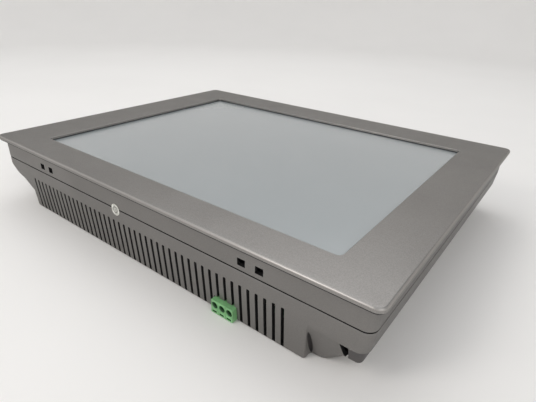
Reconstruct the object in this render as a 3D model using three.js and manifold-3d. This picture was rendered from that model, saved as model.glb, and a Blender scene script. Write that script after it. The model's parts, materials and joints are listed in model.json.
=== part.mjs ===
// Flush-mount operator panel with a 12-inch 4:3 touch display, lying on its back.
// Millimetres, +Z up out of the screen, +X along the long side, -Y is the side with the supply plug.
// The origin is the centre of the footprint on the back plane.
import * as THREE from 'three';
import { mergeVertices } from 'three/addons/utils/BufferGeometryUtils.js';
import Module from 'manifold-3d';

const wasm = await Module();
wasm.setup();

// ---- driving dimensions ----
const DEPTH = 51;                 // back plane to the front face of the bezel
const FLANGE_W = 319;             // flange outline
const FLANGE_H = 243;
const FLANGE_R = 4.8;
const FLANGE_T = 2.5;
const FLANGE_ROUND = 1.4;         // rounding of the flange's front edge
const FACE_T = 1.6;               // bezel face behind the flange rim
const OVERHANG = 3.7;             // flange overhang past the body
const BODY_W = FLANGE_W - 2 * OVERHANG;
const BODY_H = FLANGE_H - 2 * OVERHANG;
const BODY_R = 5.2;
const WALL = 2.2;
const FLOOR = 2;

const SCREEN_W = 251;             // window in the bezel
const SCREEN_H = 188.2;
const SCREEN_R = 3;
const SCREEN_X = 3.6;             // window centre
const SCREEN_Y = -4.9;
const SCREEN_RECESS = 2.3;        // front face down to the touch surface

const SEAM_TOP = DEPTH - 16.7;    // lower end of the bezel's skirt
const SEAM_GAP = 0.7;
const COVER_TOP = SEAM_TOP - SEAM_GAP;
const BAND_BOTTOM = DEPTH - 25.7; // the rear cover's walls lean in below this
const LIP_TOP = DEPTH - 29.2;     // on the right side the band is deeper and ends in a lip
const LIP_BOTTOM = DEPTH - 36.6;
const LIP_START_X = 142;
const LIP_INSET = { topX: 2.5, topY: 1, bottomX: 4, bottomY: 2, r: 2.2 };
const RIGHT_LEAN = 1.5;           // how far the right wall leans in from the seam to the lip

const CLIP_X = [-99.8, -88.8, 87, 98]; // square holes for the fixing clips
const CLIP_W = 4.9;
const CLIP_H = 4.1;
const CLIP_Z = DEPTH - 12;

const BOX_LEFT = -124.6;          // central box of the rear cover
const BOX_RIGHT = 125.5;
const BOX_R = 2;
const BOX_SIDE_DRAFT = 0.5;
const BOX_DRAFT = 1.4;            // how far its long walls lean in by the back plane
const END_INSET_X = 20.5;         // body outline to back outline beyond the box
const END_INSET_Y = 7.2;

const SCOOP = { rx: 1.8, ry: 1.5, rz: 9.5, z: 10.5 };

const SLOT_COUNT = 45;
const SLOT_PITCH = 5.207;
const SLOT_FIRST_X = -116.9;
const SLOT_W = 1.9;
const SLOT_TOP = BAND_BOTTOM - 0.1;
const SLOT_BOTTOM = 0.9;

const POLES = 3;
const POLE_PITCH = 5.08;
const PLUG_X = 75.3;
const PLUG_W = 15.2;
const PLUG_LENGTH = 18;
const PLUG_TOP = DEPTH - 42.4;
const PLUG_BOTTOM = 0.2;
const PLUG_FACE_Y = -119.8;
const NOSE_BOTTOM = 2.3;          // the part of the plug inside its header is lower than its face
const CLEARANCE = 0.3;            // between pieces that touch

const TOUCH_W = 263;
const TOUCH_H = 200;
const TOUCH_T = 2;
const LCD_W = 262;
const LCD_H = 204;
const LCD_T = 9;
const LCD_TOP = DEPTH - 5.4;
const CHASSIS_W = 288;
const CHASSIS_H = 217;
const CHASSIS_T = 1.5;
const CHASSIS_TOP = DEPTH - 15.3;
const CHASSIS_BOTTOM = CHASSIS_TOP - CHASSIS_T;
const BOARD_T = 1.6;
const BOARD_TOP = DEPTH - 22;
const BOARD_BOTTOM = BOARD_TOP - BOARD_T;
const POWER_BOARD_BOTTOM = DEPTH - 38.3;
const POWER_BOARD_TOP = POWER_BOARD_BOTTOM + BOARD_T;

const POCKET = { x0: -114, x1: 10, y0: -92, y1: -50, top: 27.9, wall: 1.8 };

const ROUND = 14;                 // segments round a small cylinder
const CORNER = 3;                 // three.js gives an arc twice as many segments

// ---- materials ----
const looks = {
  casting: { color: 0x8b8884, roughness: 0.45, metalness: 0.35 },
  gasket: { color: 0x1c1d1f, roughness: 0.85, metalness: 0 },
  touch: { color: 0xb3b8b5, roughness: 0.18, metalness: 0 },
  display: { color: 0x2b2d31, roughness: 0.4, metalness: 0.1 },
  steel: { color: 0xb4b6b8, roughness: 0.4, metalness: 0.9 },
  board: { color: 0x1f5a3a, roughness: 0.5, metalness: 0 },
  chip: { color: 0x1a1b1d, roughness: 0.5, metalness: 0 },
  fins: { color: 0x9fa2a5, roughness: 0.4, metalness: 0.9 },
  plug: { color: 0x7cc484, roughness: 0.4, metalness: 0 },
  port: { color: 0x9ea1a4, roughness: 0.35, metalness: 0.9 },
  can: { color: 0x26282c, roughness: 0.4, metalness: 0.2 },
  film: { color: 0xb06a2a, roughness: 0.4, metalness: 0 },
  sticker: { color: 0xd8dad6, roughness: 0.5, metalness: 0 },
  label: { color: 0xcfd0cd, roughness: 0.5, metalness: 0 },
};

const panel = new THREE.Group();

function place(name, solid, look) {
  const data = solid.getMesh();
  const geometry = new THREE.BufferGeometry();
  geometry.setAttribute('position', new THREE.BufferAttribute(new Float32Array(data.vertProperties), 3));
  geometry.setIndex(new THREE.BufferAttribute(new Uint32Array(data.triVerts), 1));
  const mesh = new THREE.Mesh(geometry, new THREE.MeshStandardMaterial(looks[look]));
  mesh.name = name;
  panel.add(mesh);
}

// ---- solids ----
function toSolid(geometry) {
  const bare = geometry.index ? geometry.toNonIndexed() : geometry.clone();
  bare.deleteAttribute('normal');
  bare.deleteAttribute('uv');
  const merged = mergeVertices(bare, 1e-4);
  return new wasm.Manifold(new wasm.Mesh({
    numProp: 3,
    vertProperties: new Float32Array(merged.attributes.position.array),
    triVerts: new Uint32Array(merged.index.array),
  }));
}

function union(solids) {
  return solids.reduce((sum, next) => sum.add(next));
}

function cut(solid, tools) {
  return tools.reduce((rest, tool) => rest.subtract(tool), solid);
}

// A box given by its lowest and highest corners.
function box(x0, x1, y0, y1, z0, z1) {
  const geometry = new THREE.BoxGeometry(x1 - x0, y1 - y0, z1 - z0);
  geometry.translate((x0 + x1) / 2, (y0 + y1) / 2, (z0 + z1) / 2);
  return toSolid(geometry);
}

function roundedRect(w, h, r, cx = 0, cy = 0, path = new THREE.Shape()) {
  const x = cx - w / 2;
  const y = cy - h / 2;
  path.moveTo(x + r, y);
  path.lineTo(x + w - r, y);
  path.absarc(x + w - r, y + r, r, -Math.PI / 2, 0);
  path.lineTo(x + w, y + h - r);
  path.absarc(x + w - r, y + h - r, r, 0, Math.PI / 2);
  path.lineTo(x + r, y + h);
  path.absarc(x + r, y + h - r, r, Math.PI / 2, Math.PI);
  path.lineTo(x, y + r);
  path.absarc(x + r, y + r, r, Math.PI, 1.5 * Math.PI);
  return path;
}

// A plate of any outline between two heights.
function plate(shape, z0, z1, segments = CORNER) {
  const geometry = new THREE.ExtrudeGeometry(shape, {
    depth: z1 - z0, bevelEnabled: false, curveSegments: segments,
  });
  geometry.translate(0, 0, z0);
  return toSolid(geometry);
}

// A plate whose lower outline is scaled about (cx, 0), for walls with draft.
function drafted(w, h, r, z0, z1, lowerW, lowerH, cx = 0) {
  const geometry = new THREE.ExtrudeGeometry(roundedRect(w, h, r), {
    depth: z1 - z0, bevelEnabled: false, curveSegments: CORNER,
  });
  const points = geometry.attributes.position;
  for (let i = 0; i < points.count; i += 1) {
    const low = points.getZ(i) < (z1 - z0) / 2;
    points.setX(i, points.getX(i) * (low ? lowerW / w : 1) + cx);
    points.setY(i, points.getY(i) * (low ? lowerH / h : 1));
  }
  geometry.translate(0, 0, z0);
  return toSolid(geometry);
}

function cylinder(r, x, y, z0, z1, segments = ROUND) {
  const geometry = new THREE.CylinderGeometry(r, r, z1 - z0, segments);
  geometry.rotateX(Math.PI / 2);
  geometry.translate(x, y, (z0 + z1) / 2);
  return toSolid(geometry);
}

// A cylinder along Y.
function cylinderY(r, x, z, y0, y1, segments = ROUND) {
  const geometry = new THREE.CylinderGeometry(r, r, y1 - y0, segments);
  geometry.translate(x, (y0 + y1) / 2, z);
  return toSolid(geometry);
}

// A strip with a bent profile in the XZ plane, running along Y.
function stripAlongY(points, y0, y1) {
  const geometry = new THREE.ExtrudeGeometry(new THREE.Shape(points.map(([x, z]) => new THREE.Vector2(x, z))), {
    depth: y1 - y0, bevelEnabled: false,
  });
  geometry.rotateX(Math.PI / 2);
  geometry.translate(0, y1, 0);
  return toSolid(geometry);
}

// A cross-recess screw, head down, its shank going up from z.
function screwUp(x, y, z, headR, headH, shankR, shankLength) {
  const head = cylinder(headR, x, y, z - headH, z);
  const shank = cylinder(shankR, x, y, z - headH / 2, z + shankLength, 8);
  const arm = headR * 0.55;
  const half = headR * 0.13;
  const depth = headH * 0.5;
  const recess = [
    box(x - arm, x + arm, y - half, y + half, z - headH - 1, z - headH + depth),
    box(x - half, x + half, y - arm, y + arm, z - headH - 1, z - headH + depth),
  ];
  return cut(head.add(shank), recess);
}

// ---- front: bezel, gaskets, touch panel, display ----
const chassisCorners = [[-1, -1], [1, -1], [1, 1], [-1, 1]].map(([sx, sy]) => [
  SCREEN_X + sx * (CHASSIS_W / 2 - 4.5),
  SCREEN_Y + sy * (CHASSIS_H / 2 - 4),
]);
const CHASSIS_SCREW_R = 1.5;

function clipHoleCutters() {
  const cutters = [];
  for (const x of CLIP_X) {
    for (const side of [-1, 1]) {
      const y = side * BODY_H / 2;
      cutters.push(box(x - CLIP_W / 2, x + CLIP_W / 2, y - 4, y + 4, CLIP_Z - CLIP_H / 2, CLIP_Z + CLIP_H / 2));
    }
  }
  return cutters;
}

function frontBezel() {
  const straight = plate(roundedRect(FLANGE_W, FLANGE_H, FLANGE_R), DEPTH - FLANGE_T, DEPTH - FLANGE_ROUND);
  const rim = new THREE.ExtrudeGeometry(
    roundedRect(FLANGE_W - 2 * FLANGE_ROUND, FLANGE_H - 2 * FLANGE_ROUND, FLANGE_R - FLANGE_ROUND),
    {
      depth: 0.4, bevelThickness: FLANGE_ROUND, bevelSize: FLANGE_ROUND,
      bevelSegments: 4, curveSegments: CORNER,
    },
  );
  rim.translate(0, 0, DEPTH - FLANGE_ROUND - 0.4);
  const belowFace = DEPTH - FLANGE_T - 1;
  const flange = straight.add(cut(toSolid(rim), [
    box(-FLANGE_W, FLANGE_W, -FLANGE_H, FLANGE_H, belowFace - 5, DEPTH - FLANGE_ROUND - 0.2),
  ]));
  const skirt = plate(roundedRect(BODY_W, BODY_H, BODY_R), SEAM_TOP, DEPTH - FLANGE_T + 1);
  const hollow = plate(
    roundedRect(BODY_W - 2 * WALL, BODY_H - 2 * WALL, BODY_R - WALL), SEAM_TOP - 1, DEPTH - FACE_T,
  );
  const window = plate(roundedRect(SCREEN_W, SCREEN_H, SCREEN_R, SCREEN_X, SCREEN_Y), DEPTH - 6, DEPTH + 1);
  const bosses = chassisCorners.map(([x, y]) => (
    cylinder(3.4, x, y, CHASSIS_TOP + CLEARANCE, DEPTH - FACE_T + 0.5)
  ));
  const bossHoles = chassisCorners.map(([x, y]) => (
    cylinder(CHASSIS_SCREW_R + CLEARANCE, x, y, CHASSIS_TOP - 1, CHASSIS_TOP + 8, 10)
  ));
  const shell = cut(flange.add(skirt), [hollow, window, ...clipHoleCutters()]);
  return cut(union([shell, ...bosses]), bossHoles);
}

function ring(outer, inner, z0, z1) {
  const shape = outer;
  shape.holes.push(inner);
  return plate(shape, z0, z1);
}

function panelGasket() {
  const outer = roundedRect(FLANGE_W - 2, FLANGE_H - 2, FLANGE_R - 1);
  const inner = roundedRect(BODY_W + 2 * CLEARANCE, BODY_H + 2 * CLEARANCE, BODY_R, 0, 0, new THREE.Path());
  return ring(outer, inner, DEPTH - FLANGE_T - 1.1, DEPTH - FLANGE_T - 0.1);
}

function displayGasket() {
  const outer = roundedRect(TOUCH_W, TOUCH_H, 3, SCREEN_X, SCREEN_Y);
  const inner = roundedRect(SCREEN_W + 0.6, SCREEN_H + 0.6, SCREEN_R, SCREEN_X, SCREEN_Y, new THREE.Path());
  return ring(outer, inner, DEPTH - SCREEN_RECESS + 0.1, DEPTH - FACE_T - 0.1);
}

function touchPanel() {
  const top = DEPTH - SCREEN_RECESS;
  return plate(roundedRect(TOUCH_W, TOUCH_H, 3, SCREEN_X, SCREEN_Y), top - TOUCH_T, top);
}

function lcdModule() {
  const body = plate(roundedRect(LCD_W, LCD_H, 4, SCREEN_X, SCREEN_Y), LCD_TOP - LCD_T, LCD_TOP - 1);
  const rim = ring(
    roundedRect(LCD_W - 4, LCD_H - 4, 3, SCREEN_X, SCREEN_Y),
    roundedRect(SCREEN_W, SCREEN_H, 2, SCREEN_X, SCREEN_Y, new THREE.Path()),
    LCD_TOP - 1.5, LCD_TOP,
  );
  const ears = [[-1, -1], [1, -1], [1, 1], [-1, 1]].map(([sx, sy]) => box(
    ...[SCREEN_X + sx * (LCD_W / 2 - 2), SCREEN_X + sx * (LCD_W / 2 + 4)].sort((a, b) => a - b),
    SCREEN_Y + sy * 70 - 6, SCREEN_Y + sy * 70 + 6, LCD_TOP - LCD_T, LCD_TOP - LCD_T + 2,
  ));
  return union([body, rim, ...ears]);
}

// ---- middle: chassis plate and the boards it carries ----
const boardArea = { x0: -116, x1: 40, y0: -47, y1: 63 };
const boardCorners = [[-110, -28], [34, -41], [34, 57], [-110, 57]];
const powerArea = { x0: 50, x1: 116, y0: -111, y1: -66 };
const powerCorners = [[54, -71], [112, -71]];
const pillarPlaces = [[-112, -103], [20, -103], [104, -52], [-112, 92], [0, 92], [112, 92]];
const PILLAR_FOOT = FLOOR + CLEARANCE;
const SCREW_R = 1.5;

function chassisPlate() {
  const sheet = plate(roundedRect(CHASSIS_W, CHASSIS_H, 4, SCREEN_X, SCREEN_Y), CHASSIS_BOTTOM, CHASSIS_TOP);
  const boardStandoffs = boardCorners.map(([x, y]) => (
    cylinder(3, x, y, BOARD_TOP + 0.1, CHASSIS_BOTTOM + 0.5, 12)
  ));
  const powerStandoffs = powerCorners.map(([x, y]) => (
    cylinder(3, x, y, POWER_BOARD_TOP + 0.1, CHASSIS_BOTTOM + 0.5, 12)
  ));
  const pillars = pillarPlaces.map(([x, y]) => cylinder(4, x, y, PILLAR_FOOT, CHASSIS_BOTTOM + 0.5, 6));
  const hole = SCREW_R + CLEARANCE;
  const cutters = [
    ...chassisCorners.map(([x, y]) => cylinder(hole, x, y, CHASSIS_BOTTOM - 1, CHASSIS_TOP + 1, 10)),
    ...boardCorners.map(([x, y]) => cylinder(hole, x, y, BOARD_TOP - 1, BOARD_TOP + 4, 10)),
    ...powerCorners.map(([x, y]) => cylinder(hole, x, y, POWER_BOARD_TOP - 1, POWER_BOARD_TOP + 6, 10)),
    ...pillarPlaces.map(([x, y]) => cylinder(hole, x, y, PILLAR_FOOT - 1, PILLAR_FOOT + 8, 10)),
    box(-17, 17, 66, 77, CHASSIS_BOTTOM - 1, CHASSIS_TOP + 1),
  ];
  return cut(union([sheet, ...boardStandoffs, ...powerStandoffs, ...pillars]), cutters);
}

function boardWithHoles(area, z0, z1, holes) {
  const sheet = box(area.x0, area.x1, area.y0, area.y1, z0, z1);
  return cut(sheet, holes.map(([x, y]) => cylinder(SCREW_R + CLEARANCE, x, y, z0 - 1, z1 + 1, 12)));
}

function heatSink() {
  const base = box(-60, -8, -9, 43, BOARD_BOTTOM - 5.4, BOARD_BOTTOM - 2.8);
  const fins = [];
  for (let i = 0; i < 8; i += 1) {
    const x = -60 + i * 7.2;
    fins.push(box(x, x + 1.4, -9, 43, BOARD_BOTTOM - 18, BOARD_BOTTOM - 5));
  }
  return union([base, ...fins]);
}

function capacitor(x, y) {
  return cylinder(5, x, y, POWER_BOARD_BOTTOM - 9, POWER_BOARD_BOTTOM - 0.1, 16);
}

function powerInductor() {
  const core = box(53, 65, -93, -81, POWER_BOARD_BOTTOM - 6, POWER_BOARD_BOTTOM - 0.1);
  return cut(core, [cylinder(3.4, 59, -87, POWER_BOARD_BOTTOM - 7, POWER_BOARD_BOTTOM - 4.6, 12)]);
}

function inputFuse() {
  const body = cylinderY(2.6, 72, POWER_BOARD_BOTTOM - 3.2, -98, -80, 12);
  const clips = [-97, -84].map((y) => (
    box(69, 75, y, y + 3, POWER_BOARD_BOTTOM - 3.4, POWER_BOARD_BOTTOM - 0.1)
  ));
  return union([body, ...clips]);
}

const BATTERY_X = 20;
const BATTERY_Y = 32;

function batteryHolder() {
  const cup = cylinder(12, BATTERY_X, BATTERY_Y, BOARD_BOTTOM - 6, BOARD_BOTTOM - 0.1);
  return cut(cup, [cylinder(10.4, BATTERY_X, BATTERY_Y, BOARD_BOTTOM - 7, BOARD_BOTTOM - 2)]);
}

function clockBattery() {
  return cylinder(10, BATTERY_X, BATTERY_Y, BOARD_BOTTOM - 5.4, BOARD_BOTTOM - 2.2);
}

function touchFlex() {
  const top = DEPTH - SCREEN_RECESS - TOUCH_T - 0.2;
  const out = -145.5;
  const t = 0.5;
  const low = BOARD_TOP + 0.3;
  return stripAlongY([
    [-122, top], [-122, top - t], [out + t, top - t], [out + t, low + t], [-104, low + t], [-104, low],
    [out, low], [out, top],
  ], -6, 14);
}

function displayCable() {
  const top = LCD_TOP - LCD_T - 0.1;
  const t = 0.6;
  const low = BOARD_TOP + 0.3;
  return box(-14, 14, 69, 86, top - t, top)
    .add(box(-14, 14, 69, 69 + t, low, top))
    .add(box(-14, 14, 48, 69 + t, low, low + t));
}

// ---- data connectors, facing -Y into the rear pocket ----
const PORT_FACE_Y = POCKET.y1 - 1.2;
const PORT_TOP = BOARD_BOTTOM - 0.1;

function ethernetPort(x) {
  const body = box(x - 8, x + 8, PORT_FACE_Y, PORT_FACE_Y + 16, PORT_TOP - 13.4, PORT_TOP);
  const mouth = box(x - 5.9, x + 5.9, PORT_FACE_Y - 1, PORT_FACE_Y + 12, PORT_TOP - 9.4, PORT_TOP - 2.2);
  const latch = box(x - 3, x + 3, PORT_FACE_Y - 1, PORT_FACE_Y + 7, PORT_TOP - 11.6, PORT_TOP - 9);
  return cut(body, [mouth, latch]);
}

function usbPort(x) {
  const body = box(x - 6.6, x + 6.6, PORT_FACE_Y, PORT_FACE_Y + 14, PORT_TOP - 6.6, PORT_TOP);
  const mouth = box(x - 6, x + 6, PORT_FACE_Y - 1, PORT_FACE_Y + 10, PORT_TOP - 5.6, PORT_TOP - 0.8);
  const tongue = box(x - 5, x + 5, PORT_FACE_Y + 1, PORT_FACE_Y + 11, PORT_TOP - 3.2, PORT_TOP - 1.4);
  return cut(body, [mouth]).add(tongue);
}

function serialPort(x) {
  const z = PORT_TOP - 6.3;
  const plateSolid = box(x - 15.4, x + 15.4, PORT_FACE_Y + 1.2, PORT_FACE_Y + 12, z - 6.2, z + 6.2);
  const shape = new THREE.Shape([
    new THREE.Vector2(x - 9, z + 4.4), new THREE.Vector2(x - 7.6, z - 4.4),
    new THREE.Vector2(x + 7.6, z - 4.4), new THREE.Vector2(x + 9, z + 4.4),
  ].reverse());
  const shell = new THREE.ExtrudeGeometry(shape, { depth: 8, bevelEnabled: false });
  shell.rotateX(Math.PI / 2);
  const nose = toSolid(shell.translate(0, PORT_FACE_Y + 4, 0));
  const posts = [-12.5, 12.5].map((dx) => cylinderY(2.3, x + dx, z, PORT_FACE_Y - 3, PORT_FACE_Y + 2, 6));
  return union([plateSolid, nose, ...posts]);
}

// ---- supply connector: wires enter along Y, the screws are turned from the back ----
const plugPoles = Array.from({ length: POLES }, (_, i) => PLUG_X + (i - (POLES - 1) / 2) * POLE_PITCH);
const WIRE_R = 1.65;
const WIRE_Z = PLUG_TOP - 3.2;
const SCREW_Y = PLUG_FACE_Y + 5.5;
const CLAMP_SCREW_R = 1.7;
const CLAMP_SCREW_Z0 = PLUG_BOTTOM + 0.3;
const CLAMP_SCREW_Z1 = PLUG_BOTTOM + 2.6;
const JAW = { w: 3.2, l: 3.6, t: 0.8 };
const JAW_Z0 = PLUG_BOTTOM + 2.9;
const JAW_TRAVEL = 2;
const HEADER_FRONT_Y = PLUG_FACE_Y + 9;
const PIN_Z = NOSE_BOTTOM + 3.2;

function terminalPlug() {
  const backY = PLUG_FACE_Y + PLUG_LENGTH;
  const left = PLUG_X - PLUG_W / 2;
  const head = box(left, left + PLUG_W, PLUG_FACE_Y, HEADER_FRONT_Y - CLEARANCE, PLUG_BOTTOM, PLUG_TOP);
  const nose = box(left, left + PLUG_W, HEADER_FRONT_Y - 1, backY, NOSE_BOTTOM, PLUG_TOP);
  const cutters = [];
  for (const x of plugPoles) {
    cutters.push(cylinderY(WIRE_R, x, WIRE_Z, PLUG_FACE_Y - 1, PLUG_FACE_Y + 10.5));
    cutters.push(cylinder(CLAMP_SCREW_R + 0.2, x, SCREW_Y, PLUG_BOTTOM - 1, JAW_Z0));
    cutters.push(box(
      x - JAW.w / 2 - 0.2, x + JAW.w / 2 + 0.2,
      SCREW_Y - JAW.l / 2 - CLEARANCE, SCREW_Y + JAW.l / 2 + CLEARANCE,
      JAW_Z0 - 0.2, JAW_Z0 + JAW.t + JAW_TRAVEL + 0.3,
    ));
    cutters.push(box(x - 1.3, x + 1.3, PLUG_FACE_Y - 1, PLUG_FACE_Y + 1.2, PLUG_BOTTOM + 1, PLUG_BOTTOM + 1.8));
    cutters.push(box(x - 0.9, x + 0.9, backY - 4.6, backY + 1, PIN_Z - 0.9, PIN_Z + 0.9));
  }
  return cut(head.add(nose), cutters);
}

function clampScrew(x) {
  const barrel = cylinder(CLAMP_SCREW_R, x, SCREW_Y, CLAMP_SCREW_Z0, CLAMP_SCREW_Z1, 20);
  const slot = box(x - 2, x + 2, SCREW_Y - 0.35, SCREW_Y + 0.35, CLAMP_SCREW_Z0 - 1, CLAMP_SCREW_Z0 + 0.8);
  return cut(barrel, [slot]);
}

function wireClamp(x) {
  return box(x - JAW.w / 2, x + JAW.w / 2, SCREW_Y - JAW.l / 2, SCREW_Y + JAW.l / 2, JAW_Z0, JAW_Z0 + JAW.t);
}

function terminalHeader() {
  const gap = CLEARANCE;
  const wall = 1.2;
  const x0 = PLUG_X - PLUG_W / 2 - gap;
  const x1 = PLUG_X + PLUG_W / 2 + gap;
  const z0 = NOSE_BOTTOM - gap;
  const z1 = PLUG_TOP + gap;
  const plugBack = PLUG_FACE_Y + PLUG_LENGTH + gap;
  const shell = cut(box(x0 - wall, x1 + wall, HEADER_FRONT_Y, plugBack + 2, z0 - wall, z1 + wall), [
    box(x0, x1, HEADER_FRONT_Y - 1, plugBack, z0, z1),
  ]);
  const pins = plugPoles.map((x) => (
    box(x - 0.5, x + 0.5, plugBack - 4, plugBack + 1, PIN_Z - 0.5, PIN_Z + 0.5)
  ));
  return union([shell, ...pins]);
}

// The plug comes through a close opening in the wall, and its wider header sits right behind it.
const plugOpening = { half: PLUG_W / 2 + 0.4, y1: HEADER_FRONT_Y - 0.9, top: PLUG_TOP + 0.4 };
const headerOpening = { half: 9.8, y1: PLUG_FACE_Y + PLUG_LENGTH + 4.3, top: PLUG_TOP + 1.9 };

// ---- rear cover ----
function coverMass(inset) {
  const w = BODY_W - 2 * inset;
  const h = BODY_H - 2 * inset;
  const r = BODY_R - inset;
  const floor = inset ? FLOOR : 0;
  const band = plate(roundedRect(w, h, r), BAND_BOTTOM, COVER_TOP + (inset ? 1 : 0));
  const ends = drafted(w, h, r, floor, BAND_BOTTOM, w - 2 * END_INSET_X, h - 2 * END_INSET_Y);
  const boxW = BOX_RIGHT - BOX_LEFT - 2 * inset;
  const middle = drafted(boxW, h, BOX_R, floor, BAND_BOTTOM, boxW - 2 * BOX_SIDE_DRAFT,
    h - 2 * BOX_DRAFT, (BOX_LEFT + BOX_RIGHT) / 2);
  return union([band, ends]).subtract(leftTrim(inset)).add(middle);
}

// What the left end loses: a chamfer below the band, a step and a steep lower wall.
function leftTrim(inset) {
  const shape = new THREE.Shape([
    [-155.8, 28.5], [-146.8, 21.5], [-142.7, 19.8], [-140.6, 13.3], [-135.3, 0.2], [-135.3, -1],
    [-170, -1], [-170, 28.5],
  ].map(([x, z]) => new THREE.Vector2(x + inset, z + inset)));
  const geometry = new THREE.ExtrudeGeometry(shape, { depth: BODY_H + 10, bevelEnabled: false });
  geometry.rotateX(Math.PI / 2);
  return toSolid(geometry.translate(0, BODY_H / 2 + 5, 0));
}

// On the right side the band is deeper and ends in a lip.
function rightLip() {
  const band = plate(roundedRect(BODY_W, BODY_H, BODY_R), LIP_TOP, BAND_BOTTOM + 0.5);
  const lip = drafted(
    BODY_W - 2 * LIP_INSET.topX, BODY_H - 2 * LIP_INSET.topY, LIP_INSET.r, LIP_BOTTOM, LIP_TOP + 0.5,
    BODY_W - 2 * LIP_INSET.bottomX, BODY_H - 2 * LIP_INSET.bottomY,
  );
  return band.add(lip).intersect(box(LIP_START_X, BODY_W, -BODY_H, BODY_H, 0, DEPTH));
}

// Everything inside the right wall, which leans in evenly from the seam down.
function rightLimit() {
  const lean = RIGHT_LEAN * COVER_TOP / (COVER_TOP - LIP_TOP);
  const leaning = drafted(BODY_W, BODY_H, BODY_R, 0, COVER_TOP, BODY_W - 2 * lean, BODY_H);
  return leaning.add(box(-BODY_W, LIP_START_X, -BODY_H, BODY_H, 0, COVER_TOP));
}

// A scooped corner where each long wall of the box meets the right end.
function scoops() {
  const wallLean = Math.atan2(END_INSET_Y, BAND_BOTTOM);
  return [-1, 1].map((side) => {
    const geometry = new THREE.SphereGeometry(1, 12, 8);
    geometry.scale(SCOOP.rx, SCOOP.ry, SCOOP.rz);
    geometry.rotateX(-side * wallLean);
    const wallY = BODY_H / 2 - END_INSET_Y * (1 - SCOOP.z / BAND_BOTTOM);
    return toSolid(geometry.translate(BOX_RIGHT - 0.2, side * wallY, SCOOP.z));
  });
}

// A dark notch at each end of the lip.
function lipNotches() {
  const shape = new THREE.Shape([
    new THREE.Vector2(LIP_START_X - 0.2, LIP_TOP - 0.2),
    new THREE.Vector2(LIP_START_X + 0.3, LIP_TOP - 2.6),
    new THREE.Vector2(LIP_START_X + 1.4, LIP_TOP - 5.6),
    new THREE.Vector2(LIP_START_X + 3.2, LIP_BOTTOM - 0.5),
    new THREE.Vector2(LIP_START_X + 4, LIP_BOTTOM - 0.5),
    new THREE.Vector2(LIP_START_X + 4, LIP_TOP - 0.2),
  ]);
  return [-1, 1].map((side) => {
    const geometry = new THREE.ExtrudeGeometry(shape, { depth: 7, bevelEnabled: false });
    geometry.rotateX(Math.PI / 2);
    return toSolid(geometry.translate(0, 3.5 + side * (BODY_H / 2 - 3.5), 0));
  });
}

function slotCutters() {
  const cutters = [];
  for (let i = 0; i < SLOT_COUNT; i += 1) {
    const x = SLOT_FIRST_X + i * SLOT_PITCH;
    for (const side of [-1, 1]) {
      const y = side * (BODY_H / 2 - 1.6);
      cutters.push(box(x - SLOT_W / 2, x + SLOT_W / 2, y - 3, y + 3, SLOT_BOTTOM, SLOT_TOP));
    }
  }
  return cutters;
}

function openingFor({ half, y1, top }, y0) {
  return box(PLUG_X - half, PLUG_X + half, y0, y1, -1, top);
}

function connectorPocket() {
  const { x0, x1, y0, y1, top, wall } = POCKET;
  return box(x0 - wall, x1 + wall, y0 - wall, y1 + wall, 0.5, top + wall);
}

const ETHERNET_X = -102;
const USB_X = [-85, -69];
const SERIAL_X = [-45.5, -10.5];

function portCutters() {
  const y0 = POCKET.y1 - 1;
  const y1 = POCKET.y1 + POCKET.wall + 1;
  const openings = [
    [ETHERNET_X, 8.3, 13.8], ...USB_X.map((x) => [x, 6.9, 7]), ...SERIAL_X.map((x) => [x, 15.7, 12.8]),
  ];
  return openings.map(([x, half, height]) => (
    box(x - half, x + half, y0, y1, PORT_TOP - height, PORT_TOP + 0.25)
  ));
}

function rearCover() {
  const outside = union([coverMass(0), rightLip()]).intersect(rightLimit());
  const shell = cut(outside, [coverMass(WALL)]);
  const lipInset = WALL + CLEARANCE;
  const tongue = ring(
    roundedRect(BODY_W - 2 * lipInset, BODY_H - 2 * lipInset, BODY_R - lipInset),
    roundedRect(
      BODY_W - 2 * lipInset - 3, BODY_H - 2 * lipInset - 3, BODY_R - lipInset - 1.5, 0, 0, new THREE.Path(),
    ),
    COVER_TOP - 4, COVER_TOP + 3,
  );
  const shelf = ring(
    roundedRect(BODY_W - 2, BODY_H - 2, BODY_R - 1),
    roundedRect(
      BODY_W - 2 * lipInset - 3, BODY_H - 2 * lipInset - 3, BODY_R - lipInset - 1.5, 0, 0, new THREE.Path(),
    ),
    COVER_TOP - 4, COVER_TOP - 1.5,
  );
  const { x0, x1, y0, y1, top } = POCKET;
  const cutters = [
    ...slotCutters(),
    ...lipNotches(),
    ...scoops(),
    box(x0, x1, y0, y1, -1, top),
    ...portCutters(),
    openingFor(plugOpening, -BODY_H),
    openingFor(headerOpening, plugOpening.y1 - 0.1),
    ...pillarPlaces.map(([x, y]) => cylinder(SCREW_R + CLEARANCE, x, y, -1, FLOOR + 1, 10)),
    ...pillarPlaces.map(([x, y]) => cylinder(3.4, x, y, -1, 1)),
    plate(labelOutline(0.4), -1, 0.4),
  ];
  return cut(union([shell, tongue, shelf, connectorPocket()]), cutters);
}

// ---- stickers ----
const SEAL_R = 3.9;
const SEAL_X = -13.9;
const SEAL_Z = DEPTH - 17.6;

function sealSticker() {
  const face = -BODY_H / 2 - 0.05;
  return cylinderY(SEAL_R, SEAL_X, SEAL_Z, face - 0.25, face, 32);
}

function labelOutline(margin) {
  return roundedRect(60 + 2 * margin, 34 + 2 * margin, 3 + margin, 48, 24);
}

function ratingLabel() {
  return plate(labelOutline(0), 0.1, 0.35);
}

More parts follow.
